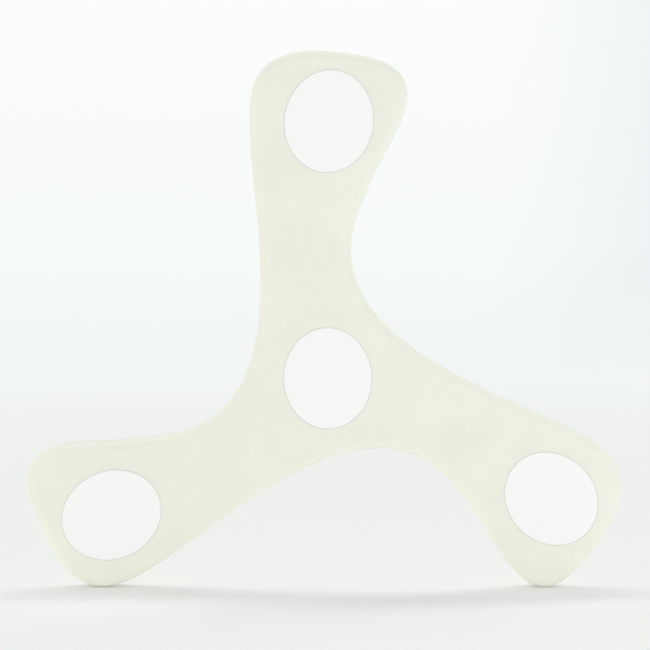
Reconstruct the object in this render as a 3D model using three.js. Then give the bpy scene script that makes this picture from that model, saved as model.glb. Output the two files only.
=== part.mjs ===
// Three-blade throwing boomerang: one soft moulded foam plate with four blank adhesive labels on its front.
// Millimetres, +Z up. The plate stands upright on the tips of its two lower blades, front face towards -Y.
// The origin is on the ground, under the middle of the bounding box.
import * as THREE from 'three';

// Plate
const bladeCount = 3;
const plateThickness = 10;
const rimRadius = 4.5; // rounding of the rim, on the front and on the back
const rimBand = 1; // narrowest flat band left round the middle of the rim
const curvePieces = 18; // straight pieces in each curve of the outline
const rimPieces = 4; // facets in each quarter-round of the rim

// Outline of one blade, pointing up, measured from the middle of the hub. Across is to the right.
const bladeLength = 148; // up to the middle of the tip edge
const tipOffset = 14; // the tip edge's middle, across
const trailingHeight = 86.5; // the narrow of the blade on its trailing edge, up
const trailingOffset = 18; // and across
const leadingHeight = 43; // the straight stretch of the leading edge, up
const leadingOffset = -31; // and across

// Headings at those three places, anticlockwise round the outline, in degrees from the across direction.
const trailingHeading = 72;
const tipHeading = 171;
const leadingHeading = 270.5;

// How far each curve runs straight on from its two ends: longer is fuller.
const lobeReach = { start: 21.5, end: 44 }; // trailing corner of the tip
const cornerReach = { start: 73.5, end: 71 }; // leading corner of the tip
const bayReach = { start: 72, end: 9.5 }; // hollow between two blades

// Labels: plain ovals, pressed on by hand, so each one sits a little off line.
const labelWidth = 41;
const labelHeight = 47;
const labelThickness = 0.2;
const labelPieces = 24; // straight pieces in each half of a label's edge
// fromTip is from the tip edge's middle down to the label's middle, aside is to the left of the blade's line,
// and tilt is anticlockwise from that line.
const bladeLabels = [
  { name: 'top_blade_label', blade: 0, fromTip: 30.5, aside: 0, tilt: -9 },
  { name: 'left_blade_label', blade: 1, fromTip: 30.5, aside: 5, tilt: -4.5 },
  { name: 'right_blade_label', blade: 2, fromTip: 29.5, aside: 3.5, tilt: -14.5 },
];
const hubLabelTilt = 2;

const foam = { color: 0xebeedf, roughness: 0.75, metalness: 0 };
const vinyl = { color: 0xf8f8f6, roughness: 0.35, metalness: 0 };

const bladeTurn = (2 * Math.PI) / bladeCount;
const outline = plateOutline();
const lean = standingLean(outline);
const limits = outlineLimits(outline, lean);

// A place on the outline of one blade, turned to where that blade points.
function station(blade, across, up, heading) {
  const middle = new THREE.Vector2();
  const place = new THREE.Vector2(across, up).rotateAround(middle, blade * bladeTurn);
  const angle = THREE.MathUtils.degToRad(heading) + blade * bladeTurn;
  const direction = new THREE.Vector2(Math.cos(angle), Math.sin(angle));
  return { place, direction };
}

// Adds one curve that leaves and meets its end stations along their headings.
function curveTo(shape, from, to, reach) {
  const leave = from.place.clone().addScaledVector(from.direction, reach.start);
  const meet = to.place.clone().addScaledVector(to.direction, -reach.end);
  shape.bezierCurveTo(leave.x, leave.y, meet.x, meet.y, to.place.x, to.place.y);
}

function plateOutline() {
  const shape = new THREE.Shape();
  const trailing = (blade) => station(blade, trailingOffset, trailingHeight, trailingHeading);
  const first = trailing(0).place;
  shape.moveTo(first.x, first.y);
  for (let blade = 0; blade < bladeCount; blade++) {
    const tip = station(blade, tipOffset, bladeLength, tipHeading);
    const leading = station(blade, leadingOffset, leadingHeight, leadingHeading);
    curveTo(shape, trailing(blade), tip, lobeReach);
    curveTo(shape, tip, leading, cornerReach);
    curveTo(shape, leading, trailing(blade + 1), bayReach);
  }
  return shape;
}

// Every point of the outline once the plate is turned in its own plane.
function turnedPoints(shape, angle) {
  const middle = new THREE.Vector2();
  return shape.getPoints(curvePieces).map((point) => point.rotateAround(middle, angle));
}

// The small turn that brings the lowest points of the left and right blades to one level.
function standingLean(shape) {
  const lowest = (points) => points.reduce((low, point) => (point.y < low.y ? point : low));
  const passes = 4;
  let angle = 0;
  for (let pass = 0; pass < passes; pass++) {
    const points = turnedPoints(shape, angle);
    const left = lowest(points.filter((point) => point.x < 0));
    const right = lowest(points.filter((point) => point.x > 0));
    angle -= Math.atan2(right.y - left.y, right.x - left.x);
  }
  return angle;
}

function outlineLimits(shape, angle) {
  return new THREE.Box2().setFromPoints(turnedPoints(shape, angle));
}

// The bevel is taken from inside the outline, so the middle of the rim keeps the outline's true size.
function foamBody() {
  const radius = Math.min(rimRadius, (plateThickness - rimBand) / 2);
  const geometry = new THREE.ExtrudeGeometry(outline, {
    depth: plateThickness - 2 * radius,
    curveSegments: curvePieces,
    bevelThickness: radius,
    bevelSize: radius,
    bevelOffset: -radius,
    bevelSegments: rimPieces,
  });
  geometry.translate(0, 0, radius - plateThickness / 2);
  const mesh = new THREE.Mesh(geometry, new THREE.MeshStandardMaterial(foam));
  mesh.name = 'foam_body';
  return mesh;
}

// An oval lying face to face on the plate's flat front.
function label(name, place, angle) {
  const oval = new THREE.Shape();
  oval.absellipse(0, 0, labelWidth / 2, labelHeight / 2, 0, 2 * Math.PI, false, 0);
  const geometry = new THREE.ExtrudeGeometry(oval, {
    depth: labelThickness,
    curveSegments: labelPieces,
    bevelEnabled: false,
  });
  const mesh = new THREE.Mesh(geometry, new THREE.MeshStandardMaterial(vinyl));
  mesh.name = name;
  mesh.position.set(place.x, place.y, plateThickness / 2);
  mesh.rotation.z = angle;
  return mesh;
}

function hubLabel() {
  return label('hub_label', new THREE.Vector2(), THREE.MathUtils.degToRad(hubLabelTilt));
}

function bladeLabel({ name, blade, fromTip, aside, tilt }) {
  const middle = new THREE.Vector2();
  const place = new THREE.Vector2(-aside, bladeLength - fromTip).rotateAround(middle, blade * bladeTurn);
  return label(name, place, THREE.MathUtils.degToRad(tilt) + blade * bladeTurn);
}

// The plate lies in its own XY plane with its front up, leans level, then stands up.
const plate = new THREE.Group();
plate.add(foamBody(), hubLabel(), ...bladeLabels.map(bladeLabel));
plate.rotation.z = lean;

// The labels stand proud of the front, so the plate sits back by half of that.
const boomerang = new THREE.Group();
boomerang.add(plate);
boomerang.rotation.x = Math.PI / 2;
boomerang.position.set(
  -(limits.min.x + limits.max.x) / 2,
  labelThickness / 2,
  -limits.min.y,
);

export default boomerang;
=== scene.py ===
import math

import bmesh
import bpy
from mathutils import Matrix, Vector


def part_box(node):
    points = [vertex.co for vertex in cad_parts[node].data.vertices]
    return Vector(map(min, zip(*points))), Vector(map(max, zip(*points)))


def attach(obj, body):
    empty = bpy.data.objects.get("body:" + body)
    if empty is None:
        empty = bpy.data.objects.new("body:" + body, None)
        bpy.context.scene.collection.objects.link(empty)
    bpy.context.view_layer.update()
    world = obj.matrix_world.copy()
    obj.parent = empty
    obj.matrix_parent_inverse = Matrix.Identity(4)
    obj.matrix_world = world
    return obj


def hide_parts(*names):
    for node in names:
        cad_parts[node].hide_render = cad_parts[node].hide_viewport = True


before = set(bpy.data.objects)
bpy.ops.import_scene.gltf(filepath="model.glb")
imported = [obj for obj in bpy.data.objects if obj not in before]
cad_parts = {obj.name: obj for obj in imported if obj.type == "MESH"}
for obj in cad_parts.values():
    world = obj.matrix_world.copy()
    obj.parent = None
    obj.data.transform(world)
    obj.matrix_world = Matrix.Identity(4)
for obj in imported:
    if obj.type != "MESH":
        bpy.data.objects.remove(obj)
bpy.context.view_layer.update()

mm = 0.001
samePlace = 0.001 * mm    # closer than this counts as the same place
squareOn = 0.9999         # a normal with this share along Y belongs to a flat side
creaseAngle = 40          # degrees; what meets at less is shaded smooth

# A Mix node has sockets of one name for each kind of value, so its colour sockets go by number.
mixFirst = 6
mixSecond = 7
mixColour = 2


def linear(hexColour):
    # sRGB hex to the linear numbers that the shaders take
    channels = [int(hexColour[i:i + 2], 16) / 255 for i in (1, 3, 5)]
    return [c / 12.92 if c <= 0.04045 else ((c + 0.055) / 1.055) ** 2.4 for c in channels] + [1.0]


def addNode(tree, kind, inputs=None, **settings):
    # adds one node, sets it up, and links or fills its inputs
    node = tree.nodes.new(kind)
    for name, value in settings.items():
        setattr(node, name, value)
    for key, value in (inputs or {}).items():
        if isinstance(value, bpy.types.NodeSocket):
            tree.links.new(value, node.inputs[key])
        else:
            node.inputs[key].default_value = value
    return node


def newMaterial(name):
    material = bpy.data.materials.new(name)
    material.use_nodes = True
    material.node_tree.nodes.clear()
    return material


def deselectAll():
    if bpy.context.object and bpy.context.object.mode != "OBJECT":
        bpy.ops.object.mode_set(mode="OBJECT")
    bpy.ops.object.select_all(action="DESELECT")


def makeActive(piece):
    deselectAll()
    piece.select_set(True)
    bpy.context.view_layer.objects.active = piece


def startEditing(piece):
    makeActive(piece)
    bpy.ops.object.mode_set(mode="EDIT")


def selectWhere(piece, mode, test):
    # selects the points, edges or faces that pass the test, and nothing else
    bpy.ops.mesh.select_mode(type=mode)
    bpy.ops.mesh.select_all(action="DESELECT")
    mesh = bmesh.from_edit_mesh(piece.data)
    parts = {"VERT": mesh.verts, "EDGE": mesh.edges, "FACE": mesh.faces}[mode]
    for part in parts:
        part.select_set(test(part))
    mesh.select_flush_mode()


def thicken(thickness):
    # makes the flat shape that is being edited a closed plate, drawn out along Y
    bpy.ops.mesh.select_all(action="SELECT")
    bpy.ops.mesh.extrude_region_move(TRANSFORM_OT_translate={"value": (0, thickness, 0)})
    bpy.ops.mesh.select_all(action="SELECT")
    bpy.ops.mesh.normals_make_consistent(inside=False)


def cutFlatSides(piece, low, high, spacing):
    # a grid of cuts across the flat front and back, which gives them points of their own
    for axis in (0, 2):    # X, then Z
        for cut in range(1, int((high[axis] - low[axis]) / spacing) + 1):
            selectWhere(piece, "FACE", lambda face: abs(face.normal.y) > squareOn)
            place = [0, 0, 0]
            place[axis] = low[axis] + cut * spacing
            across = [0, 0, 0]
            across[axis] = 1
            bpy.ops.mesh.bisect(plane_co=place, plane_no=across)


foamBody = {
    "bladeCount": 3,
    # one blade pointing up: places on its outline, mm from the hub's middle, and headings in degrees
    "stations": {
        "trailing": {"place": (18.0, 86.5), "heading": 72.0},
        "tip": {"place": (14.0, 148.0), "heading": 171.0},
        "leading": {"place": (-31.0, 43.0), "heading": 270.5},
    },
    # how far each curve between them runs straight on from its two ends, mm
    "curves": [
        {"from": "trailing", "to": "tip", "leave": 21.5, "meet": 44.0},       # trailing corner of the tip
        {"from": "tip", "to": "leading", "leave": 73.5, "meet": 71.0},        # leading corner of the tip
        {"from": "leading", "to": "trailing", "leave": 72.0, "meet": 9.5},    # bay to the next blade
    ],
    "stepsPerCurve": 40,       # outline points in each curve
    "lean": 0.364,             # degrees in its own plane, which brings both lower tips to the floor
    "rim": 4.5,                # rounding of the rim, mm
    "rimSteps": 12,
    "seamHeight": 0.07,        # mould line round the middle of the rim, mm
    "seamWidth": 0.5,
    "gridStep": 3.0,           # spacing of the cuts across the two faces, mm
    "swell": 0.12,             # slow unevenness of the moulded faces, mm
    "swellSize": 42.0,         # and how far apart its rises are, mm
}


def stationAt(name, blade):
    station = foamBody["stations"][name]
    turn = Matrix.Rotation(blade * 2 * math.pi / foamBody["bladeCount"], 2)
    heading = math.radians(station["heading"])
    place = turn @ Vector(station["place"])
    direction = turn @ Vector((math.cos(heading), math.sin(heading)))
    return place, direction


def plateOutline():
    # the closed outline in mm, round the hub, already leaning so that both lower tips are level
    lean = Matrix.Rotation(math.radians(foamBody["lean"]), 2)
    points = []
    for blade in range(foamBody["bladeCount"]):
        for curve in foamBody["curves"]:
            start, leaving = stationAt(curve["from"], blade)
            nextBlade = blade + 1 if curve["to"] == "trailing" else blade
            end, meeting = stationAt(curve["to"], nextBlade)
            first = start + leaving * curve["leave"]
            second = end - meeting * curve["meet"]
            for step in range(foamBody["stepsPerCurve"]):
                t = step / foamBody["stepsPerCurve"]
                s = 1 - t
                point = start * s**3 + first * 3 * s * s * t + second * 3 * s * t * t + end * t**3
                points.append(lean @ point)
    return points


outline = plateOutline()
outlineMiddle = (min(point.x for point in outline) + max(point.x for point in outline)) / 2
outlineFoot = min(point.y for point in outline)
bodyLow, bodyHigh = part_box("foam_body")
frontY = bodyLow.y
middleY = (bodyLow.y + bodyHigh.y) / 2
hubX = (bodyLow.x + bodyHigh.x) / 2 - outlineMiddle * mm
hubZ = bodyLow.z - outlineFoot * mm


def makeFoamBody():
    settings = foamBody
    deselectAll()
    # a filled circle, drawn out to the outline and stood up
    bpy.ops.mesh.primitive_circle_add(vertices=len(outline), fill_type="NGON")
    piece = bpy.context.object
    piece.name = "foam_boomerang_body"
    for vertex, point in zip(piece.data.vertices, outline):
        vertex.co = (hubX + point.x * mm, frontY, hubZ + point.y * mm)

    startEditing(piece)
    thicken(bodyHigh.y - bodyLow.y)

    # round the rim, front and back
    selectWhere(piece, "EDGE", lambda edge: abs(edge.verts[0].co.y - edge.verts[1].co.y) < samePlace)
    bpy.ops.mesh.bevel(
        offset=settings["rim"] * mm, segments=settings["rimSteps"],
        affect="EDGES", clamp_overlap=False)

    # mould line: three cuts round the middle of the rim, of which the middle one stands out
    halfSeam = settings["seamWidth"] / 2 * mm
    for side in (-1, 0, 1):
        bpy.ops.mesh.select_all(action="SELECT")
        bpy.ops.mesh.bisect(plane_co=(0, middleY + side * halfSeam, 0), plane_no=(0, 1, 0))
    selectWhere(piece, "VERT", lambda point: abs(point.co.y - middleY) < samePlace)
    bpy.ops.transform.shrink_fatten(value=settings["seamHeight"] * mm)

    cutFlatSides(piece, bodyLow, bodyHigh, settings["gridStep"] * mm)
    bpy.ops.object.mode_set(mode="OBJECT")
    return piece


# The same slow unevenness moves the foam and, on its front, the labels that are pressed onto it.
swellTexture = bpy.data.textures.new("mouldedUnevenness", "CLOUDS")
swellTexture.noise_scale = foamBody["swellSize"] * mm
swellTexture.noise_depth = 1


def addSwell(piece, direction, sign):
    makeActive(piece)
    swell = piece.modifiers.new("swell", "DISPLACE")
    swell.texture = swellTexture
    swell.texture_coords = "LOCAL"
    swell.direction = direction
    swell.strength = sign * foamBody["swell"] * mm
    bpy.ops.object.modifier_apply(modifier=swell.name)


def smoothShade(piece):
    makeActive(piece)
    bpy.ops.object.shade_smooth_by_angle(angle=math.radians(creaseAngle))


labels = {
    "width": 41.0,            # mm
    "height": 47.0,
    "edgePoints": 120,
    "edgeRound": 0.06,        # softened front edge of the cut vinyl, mm
    "edgeSteps": 3,
    "paintedShadowBorder": 0.3,         # narrow border round the front, painted grey as a shadow line along the cut, mm
    "gridStep": 3.0,          # spacing of the cuts across its two sides, mm
    # how far each label is turned from upright, in degrees: its blade's turn, and how askew it is on it
    "turns": {
        "hub_label": 2.0,
        "top_blade_label": -9.0,
        "left_blade_label": 120 - 4.5,
        "right_blade_label": 240 - 14.5,
    },
}


def makeLabel(node):
    settings = labels
    low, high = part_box(node)
    middle = (low + high) / 2
    turn = Matrix.Rotation(math.radians(settings["turns"][node] + foamBody["lean"]), 2)
    deselectAll()
    # a filled circle 1 m across, so that its points times the label's sides give the oval
    bpy.ops.mesh.primitive_circle_add(vertices=settings["edgePoints"], radius=0.5, fill_type="NGON")
    piece = bpy.context.object
    piece.name = node + "_vinyl"
    for vertex in piece.data.vertices:
        across = vertex.co.x * settings["width"] * mm
        up = vertex.co.y * settings["height"] * mm
        place = turn @ Vector((across, up))
        vertex.co = (middle.x + place.x, high.y, middle.z + place.y)

    startEditing(piece)
    thicken(low.y - high.y)

    # soften the front edge, then mark the narrow border that is painted grey as a shadow line
    selectWhere(piece, "EDGE", lambda edge: max(point.co.y for point in edge.verts) < low.y + samePlace)
    bpy.ops.mesh.bevel(
        offset=settings["edgeRound"] * mm, segments=settings["edgeSteps"],
        affect="EDGES", clamp_overlap=False)
    selectWhere(piece, "FACE", lambda face: face.normal.y < -squareOn)
    bpy.ops.mesh.inset(thickness=settings["paintedShadowBorder"] * mm)

    # film inside that border, which is still selected, and on the back; the rest is cut edge and painted
    # shadow line
    mesh = bmesh.from_edit_mesh(piece.data)
    for face in mesh.faces:
        face.material_index = 0 if face.select or face.normal.y > squareOn else 1
    bmesh.update_edit_mesh(piece.data)

    cutFlatSides(piece, low, high, settings["gridStep"] * mm)
    bpy.ops.object.mode_set(mode="OBJECT")
    return piece


foamFinish = {
    "colour": "#f1f2e5",          # ivory
    "shade": "#efefe3",           # slightly deeper patches
    "patchSize": 26.0,            # mm
    "patchRange": (0.35, 0.65),   # where in their noise the patches begin and are full
    "cellColour": "#e4e6d6",      # walls of the closed cells, seen faintly through the skin
    "cellSize": 0.45,             # mm; the real cells are about half that and wouldn't show
    "cellHeight": 0.014,          # mm
    "wallRange": (0.35, 0.8),     # how far out in a cell its wall begins and is full
    "wallShare": 0.3,             # of the wall's colour that comes through
    "grainSize": 1.1,             # pebbled moulded skin, mm
    "grainHeight": 0.011,
    "grainRange": (0.3, 0.7),     # the part of its noise that the roughness follows
    "roughness": (0.5, 0.62),
    "specks": [(7.0, 87.0), (-14.0, 44.6), (-17.0, 40.0)],    # specks on the face, dented like the pinholes, mm from the hub
    "pinholeGap": 32.0,           # usual distance between the pinholes elsewhere, mm
    "pinholeDepth": 0.15,
    "pitShadeColour": "#dcddcd",      # painted shade in the dents of both
    "spotRadius": (0.15, 0.42),   # full colour within the first, gone at the second, mm
}


def closedCellFoam():
    # moulded closed-cell EVA foam: ivory, matt to satin, softly lit from within, with a fine pebbled skin
    settings = foamFinish
    material = newMaterial("mouldedEvaFoam")
    tree = material.node_tree
    place = addNode(tree, "ShaderNodeTexCoord").outputs["Object"]

    patches = addNode(tree, "ShaderNodeTexNoise", {
        "Vector": place, "Scale": 1 / (settings["patchSize"] * mm), "Detail": 3.0, "Roughness": 0.5})
    patchShare = addNode(tree, "ShaderNodeMapRange", {
        "Value": patches.outputs["Fac"],
        "From Min": settings["patchRange"][0], "From Max": settings["patchRange"][1]})
    colour = addNode(tree, "ShaderNodeMix", {
        "Factor": patchShare.outputs["Result"],
        mixFirst: linear(settings["colour"]), mixSecond: linear(settings["shade"])}, data_type="RGBA")
    cells = addNode(tree, "ShaderNodeTexVoronoi", {
        "Vector": place, "Scale": 1 / (settings["cellSize"] * mm)})
    walls = addNode(tree, "ShaderNodeMapRange", {
        "Value": cells.outputs["Distance"], "To Max": settings["wallShare"],
        "From Min": settings["wallRange"][0], "From Max": settings["wallRange"][1]})
    celled = addNode(tree, "ShaderNodeMix", {
        "Factor": walls.outputs["Result"],
        mixFirst: colour.outputs[mixColour], mixSecond: linear(settings["cellColour"])}, data_type="RGBA")

    # metres to the nearest spot: pinholes far apart all over, and the few specks on the face
    pinholes = addNode(tree, "ShaderNodeTexVoronoi", {
        "Vector": place, "Scale": 1 / (settings["pinholeGap"] * mm)})
    nearest = addNode(tree, "ShaderNodeMath", {
        0: pinholes.outputs["Distance"], 1: settings["pinholeGap"] * mm}, operation="MULTIPLY")
    for across, up in settings["specks"]:
        speck = (hubX + across * mm, frontY, hubZ + up * mm)
        distance = addNode(tree, "ShaderNodeVectorMath", {0: place, 1: speck}, operation="DISTANCE")
        nearest = addNode(tree, "ShaderNodeMath", {
            0: nearest.outputs[0], 1: distance.outputs["Value"]}, operation="MINIMUM")
    spots = addNode(tree, "ShaderNodeMapRange", {
        "Value": nearest.outputs[0], "To Min": 1.0, "To Max": 0.0,
        "From Min": settings["spotRadius"][0] * mm, "From Max": settings["spotRadius"][1] * mm})
    # painted shade: the pinholes and specks are coloured darker, standing in for the shade in their dents
    pitShaded = addNode(tree, "ShaderNodeMix", {
        "Factor": spots.outputs["Result"],
        mixFirst: celled.outputs[mixColour], mixSecond: linear(settings["pitShadeColour"])}, data_type="RGBA")

    grain = addNode(tree, "ShaderNodeTexNoise", {
        "Vector": place, "Scale": 1 / (settings["grainSize"] * mm), "Detail": 4.0, "Roughness": 0.6})
    grainBump = addNode(tree, "ShaderNodeBump", {
        "Height": grain.outputs["Fac"], "Distance": settings["grainHeight"] * mm, "Strength": 1.0})
    cellBump = addNode(tree, "ShaderNodeBump", {
        "Height": cells.outputs["Distance"], "Distance": settings["cellHeight"] * mm, "Strength": 1.0,
        "Normal": grainBump.outputs["Normal"]}, invert=True)
    pinholeBump = addNode(tree, "ShaderNodeBump", {
        "Height": spots.outputs["Result"], "Distance": settings["pinholeDepth"] * mm, "Strength": 1.0,
        "Normal": cellBump.outputs["Normal"]}, invert=True)
    roughness = addNode(tree, "ShaderNodeMapRange", {
        "Value": grain.outputs["Fac"],
        "From Min": settings["grainRange"][0], "From Max": settings["grainRange"][1],
        "To Min": settings["roughness"][0], "To Max": settings["roughness"][1]})

    foam = addNode(tree, "ShaderNodeBsdfPrincipled", {
        "Base Color": pitShaded.outputs[mixColour],
        "Roughness": roughness.outputs["Result"],
        "IOR": 1.48,
        "Subsurface Weight": 0.25,
        "Subsurface Radius": (1.0, 0.9, 0.7),
        "Subsurface Scale": 2.5 * mm,
        "Normal": pinholeBump.outputs["Normal"]})
    addNode(tree, "ShaderNodeOutputMaterial", {"Surface": foam.outputs["BSDF"]})
    return material


vinylFinish = {
    "colour": "#f9f9f7",
    # grey of the cut edge, and of the painted shadow line round each label
    "edgeShadowGrey": "#d3d3cf",
    "edgeShadowPale": "#dfdfdb",    # paler stretches of the cut edge and its painted shadow line
    "paleStretchSize": 5.0,         # mm
    "rippleSize": 9.0,       # faint unevenness of film pressed on foam, mm
    "rippleHeight": 0.03,
    "rippleRange": (0.2, 0.8),    # the part of its noise that the roughness follows
    "roughness": (0.33, 0.42),
}


def labelVinyl():
    # white self-adhesive vinyl film: smooth, whiter than the foam, with a soft gloss
    settings = vinylFinish
    material = newMaterial("whiteVinylFilm")
    tree = material.node_tree
    place = addNode(tree, "ShaderNodeTexCoord").outputs["Object"]
    ripple = addNode(tree, "ShaderNodeTexNoise", {
        "Vector": place, "Scale": 1 / (settings["rippleSize"] * mm), "Detail": 2.0})
    bump = addNode(tree, "ShaderNodeBump", {
        "Height": ripple.outputs["Fac"], "Distance": settings["rippleHeight"] * mm, "Strength": 1.0})
    handling = addNode(tree, "ShaderNodeMapRange", {
        "Value": ripple.outputs["Fac"],
        "From Min": settings["rippleRange"][0], "From Max": settings["rippleRange"][1],
        "To Min": settings["roughness"][0], "To Max": settings["roughness"][1]})
    vinyl = addNode(tree, "ShaderNodeBsdfPrincipled", {
        "Base Color": linear(settings["colour"]),
        "Roughness": handling.outputs["Result"],
        "IOR": 1.53,
        "Normal": bump.outputs["Normal"]})
    addNode(tree, "ShaderNodeOutputMaterial", {"Surface": vinyl.outputs["BSDF"]})
    return material


def cutEdgeWithPaintedShadow():
    # the die-cut edge of the film, grey where adhesive shows; the same grey on the narrow border of the
    # front is a painted shadow line round the label, with paler stretches
    settings = vinylFinish
    material = newMaterial("cutVinylEdgeWithPaintedShadow")
    tree = material.node_tree
    place = addNode(tree, "ShaderNodeTexCoord").outputs["Object"]
    paleStretches = addNode(tree, "ShaderNodeTexNoise", {
        "Vector": place, "Scale": 1 / (settings["paleStretchSize"] * mm), "Detail": 2.0})
    colour = addNode(tree, "ShaderNodeMix", {
        "Factor": paleStretches.outputs["Fac"],
        mixFirst: linear(settings["edgeShadowGrey"]), mixSecond: linear(settings["edgeShadowPale"])}, data_type="RGBA")
    edge = addNode(tree, "ShaderNodeBsdfPrincipled", {
        "Base Color": colour.outputs[mixColour], "Roughness": 0.5, "IOR": 1.5})
    addNode(tree, "ShaderNodeOutputMaterial", {"Surface": edge.outputs["BSDF"]})
    return material


print("foam body")
body = makeFoamBody()
addSwell(body, "NORMAL", 1)
smoothShade(body)
body.data.materials.clear()
body.data.materials.append(closedCellFoam())
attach(body, "root")
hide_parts("foam_body")

print("labels")
vinyl = labelVinyl()
vinylEdgeAndShadow = cutEdgeWithPaintedShadow()
for node in labels["turns"]:
    film = makeLabel(node)
    addSwell(film, "Y", -1)    # outwards on the front, as the foam under it moves
    smoothShade(film)
    film.data.materials.append(vinyl)
    film.data.materials.append(vinylEdgeAndShadow)
    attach(film, "root")
    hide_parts(node)


studio = {
    "floorColour": "#f8faf8",
    "horizonColour": "#f6faf8",     # where the floor melts into the background
    "skyColour": "#fbfdfd",         # background well above the object
    "skyHeight": 0.155,             # upward part of the direction at which that is reached
    "dimColour": "#ecf2f2",         # the background falls off a little to the right
    "dimFrom": 0.15,
    "dimTo": 0.29,
    "floorSize": 60.0,              # m
    "clearRadius": 0.2,             # plain lit floor out to here, m
    "glowRadius": 1.1,              # only the background's own light from here, m
    "glowColour": "#f1f5f3",        # and its colour there
    "farRadius": 7.0,               # horizon colour from here, m
    "worldLight": 0.656,
}

# Soft boxes: place and sides in m, power in W. The long strip overhead, a little behind, gives the
# band of shadow in front of the lower edge, and the others only fill. The low one stands for the light
# that a white table throws back, and keeps the undersides of the rim from going dark.
softBoxes = {
    "overhead_strip_box": {
        "place": (-0.1, 0.74, 2.25), "sides": (3.0, 0.45),
        "watts": 13.2, "colour": "#ffffff", "shadow": True},
    "left_soft_box": {
        "place": (-1.86, -0.97, 0.35), "sides": (1.2, 1.2),
        "watts": 10.3, "colour": "#fffdfa", "shadow": False},
    "right_soft_box": {
        "place": (1.05, -0.8, 0.25), "sides": (0.8, 0.8),
        "watts": 4.5, "colour": "#f4f9ff", "shadow": False},
    "low_soft_box": {
        "place": (-0.15, -0.04, -1.1), "sides": (1.0, 1.0),
        "watts": 1.7, "colour": "#fcfcff", "shadow": False},
}


def backdropColour(tree, direction):
    # pale background by direction: lighter upwards, a little dimmer to the right
    parts = addNode(tree, "ShaderNodeSeparateXYZ", {0: direction})
    up = addNode(tree, "ShaderNodeMapRange", {
        "Value": parts.outputs["Z"], "From Min": 0.0, "From Max": studio["skyHeight"]})
    upward = addNode(tree, "ShaderNodeMix", {
        "Factor": up.outputs["Result"], mixFirst: linear(studio["horizonColour"]),
        mixSecond: linear(studio["skyColour"])}, data_type="RGBA")
    right = addNode(tree, "ShaderNodeMapRange", {
        "Value": parts.outputs["X"], "From Min": studio["dimFrom"], "From Max": studio["dimTo"]},
        interpolation_type="SMOOTHSTEP")
    dimmed = addNode(tree, "ShaderNodeMix", {
        "Factor": right.outputs["Result"],
        mixFirst: upward.outputs[mixColour], mixSecond: linear(studio["dimColour"])}, data_type="RGBA")
    return dimmed.outputs[mixColour]


def seenByCamera(tree):
    # 1 for rays that show the background, straight on or in gloss or glass
    path = addNode(tree, "ShaderNodeLightPath")
    share = path.outputs["Is Camera Ray"]
    for other in ("Is Glossy Ray", "Is Transmission Ray"):
        either = addNode(tree, "ShaderNodeMath", {0: share, 1: path.outputs[other]}, operation="MAXIMUM")
        share = either.outputs[0]
    return share


def makeFloor():
    deselectAll()
    bpy.ops.mesh.primitive_plane_add(size=studio["floorSize"], location=(0, 0, bodyLow.z))
    floor = bpy.context.object
    floor.name = "studio_floor"
    bpy.ops.object.transform_apply(location=True)
    material = newMaterial("paleFloor")
    tree = material.node_tree
    place = addNode(tree, "ShaderNodeTexCoord").outputs["Object"]
    distance = addNode(tree, "ShaderNodeVectorMath", {0: place}, operation="LENGTH")
    glowShare = addNode(tree, "ShaderNodeMapRange", {
        "Value": distance.outputs["Value"],
        "From Min": studio["clearRadius"], "From Max": studio["glowRadius"]},
        interpolation_type="SMOOTHSTEP")
    share = addNode(tree, "ShaderNodeMath", {
        0: glowShare.outputs["Result"], 1: seenByCamera(tree)}, operation="MULTIPLY")
    outward = addNode(tree, "ShaderNodeVectorMath", {0: place}, operation="NORMALIZE")
    far = addNode(tree, "ShaderNodeMapRange", {
        "Value": distance.outputs["Value"],
        "From Min": studio["clearRadius"], "From Max": studio["farRadius"]})
    glowColour = addNode(tree, "ShaderNodeMix", {
        "Factor": far.outputs["Result"], mixFirst: linear(studio["glowColour"]),
        mixSecond: backdropColour(tree, outward.outputs["Vector"])}, data_type="RGBA")
    matt = addNode(tree, "ShaderNodeBsdfDiffuse", {"Color": linear(studio["floorColour"])})
    glow = addNode(tree, "ShaderNodeEmission", {"Color": glowColour.outputs[mixColour], "Strength": 1.0})
    mixed = addNode(tree, "ShaderNodeMixShader", {
        0: share.outputs[0], 1: matt.outputs[0], 2: glow.outputs[0]})
    addNode(tree, "ShaderNodeOutputMaterial", {"Surface": mixed.outputs[0]})
    floor.data.materials.append(material)


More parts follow.
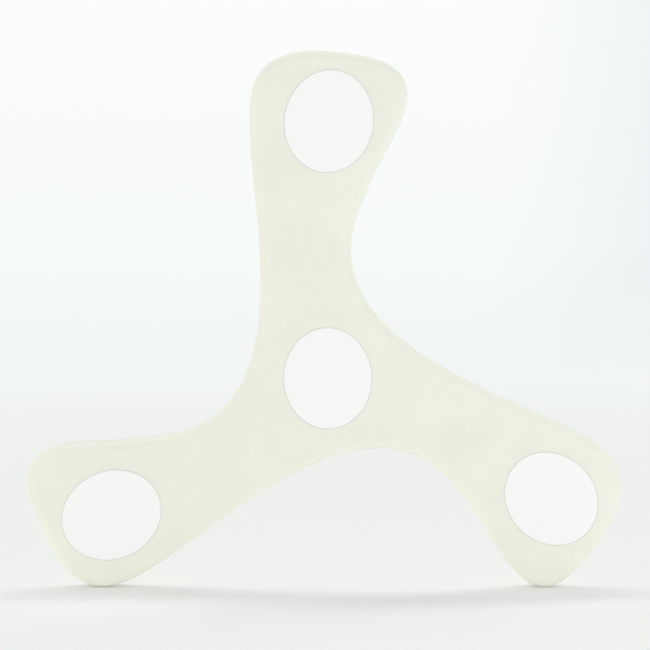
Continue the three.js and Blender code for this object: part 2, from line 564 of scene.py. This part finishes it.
def makeWorld():
    world = bpy.data.worlds.new("studioWhite")
    bpy.context.scene.world = world
    world.use_nodes = True
    tree = world.node_tree
    tree.nodes.clear()
    direction = addNode(tree, "ShaderNodeTexCoord").outputs["Generated"]
    light = addNode(tree, "ShaderNodeBackground", {
        "Color": linear("#ffffff"), "Strength": studio["worldLight"]})
    shown = addNode(tree, "ShaderNodeBackground", {
        "Color": backdropColour(tree, direction), "Strength": 1.0})
    mixed = addNode(tree, "ShaderNodeMixShader", {
        0: seenByCamera(tree), 1: light.outputs[0], 2: shown.outputs[0]})
    addNode(tree, "ShaderNodeOutputWorld", {"Surface": mixed.outputs[0]})


def addSoftBox(name, settings):
    deselectAll()
    bpy.ops.object.light_add(type="AREA", location=settings["place"])
    lamp = bpy.context.object
    lamp.name = name
    lamp.data.shape = "RECTANGLE"
    lamp.data.size = settings["sides"][0]
    lamp.data.size_y = settings["sides"][1]
    lamp.data.energy = settings["watts"]
    lamp.data.color = linear(settings["colour"])[:3]
    lamp.data.use_shadow = settings["shadow"]
    lamp.visible_camera = False
    aim = Vector((hubX, middleY, hubZ)) - Vector(settings["place"])
    lamp.rotation_euler = aim.to_track_quat("-Z", "Y").to_euler()


cameraSettings = {
    "fromHub": (-0.032, -0.691, 0.065),   # m
    "heading": 2.54,                      # degrees to the right of +Y
    "down": 3.37,
    "roll": 0.62,                         # degrees anticlockwise
    "lens": 83.0,                         # mm, on a sensor this wide
    "sensor": 36.0,
    "farthest": 50.0,                     # m that it sees
}


def makeCamera():
    settings = cameraSettings
    deselectAll()
    place = Vector((hubX, middleY, hubZ)) + Vector(settings["fromHub"])
    bpy.ops.object.camera_add(location=place)
    camera = bpy.context.object
    camera.data.lens = settings["lens"]
    camera.data.sensor_width = settings["sensor"]
    camera.data.clip_end = settings["farthest"]
    heading = Matrix.Rotation(-math.radians(settings["heading"]), 3, "Z")
    down = Matrix.Rotation(math.radians(90 - settings["down"]), 3, "X")
    roll = Matrix.Rotation(math.radians(settings["roll"]), 3, "Z")
    camera.rotation_euler = (heading @ down @ roll).to_euler()
    bpy.context.scene.camera = camera


print("studio")
makeFloor()
makeWorld()
for name, settings in softBoxes.items():
    addSoftBox(name, settings)
makeCamera()
bpy.context.scene.view_settings.view_transform = "Standard"
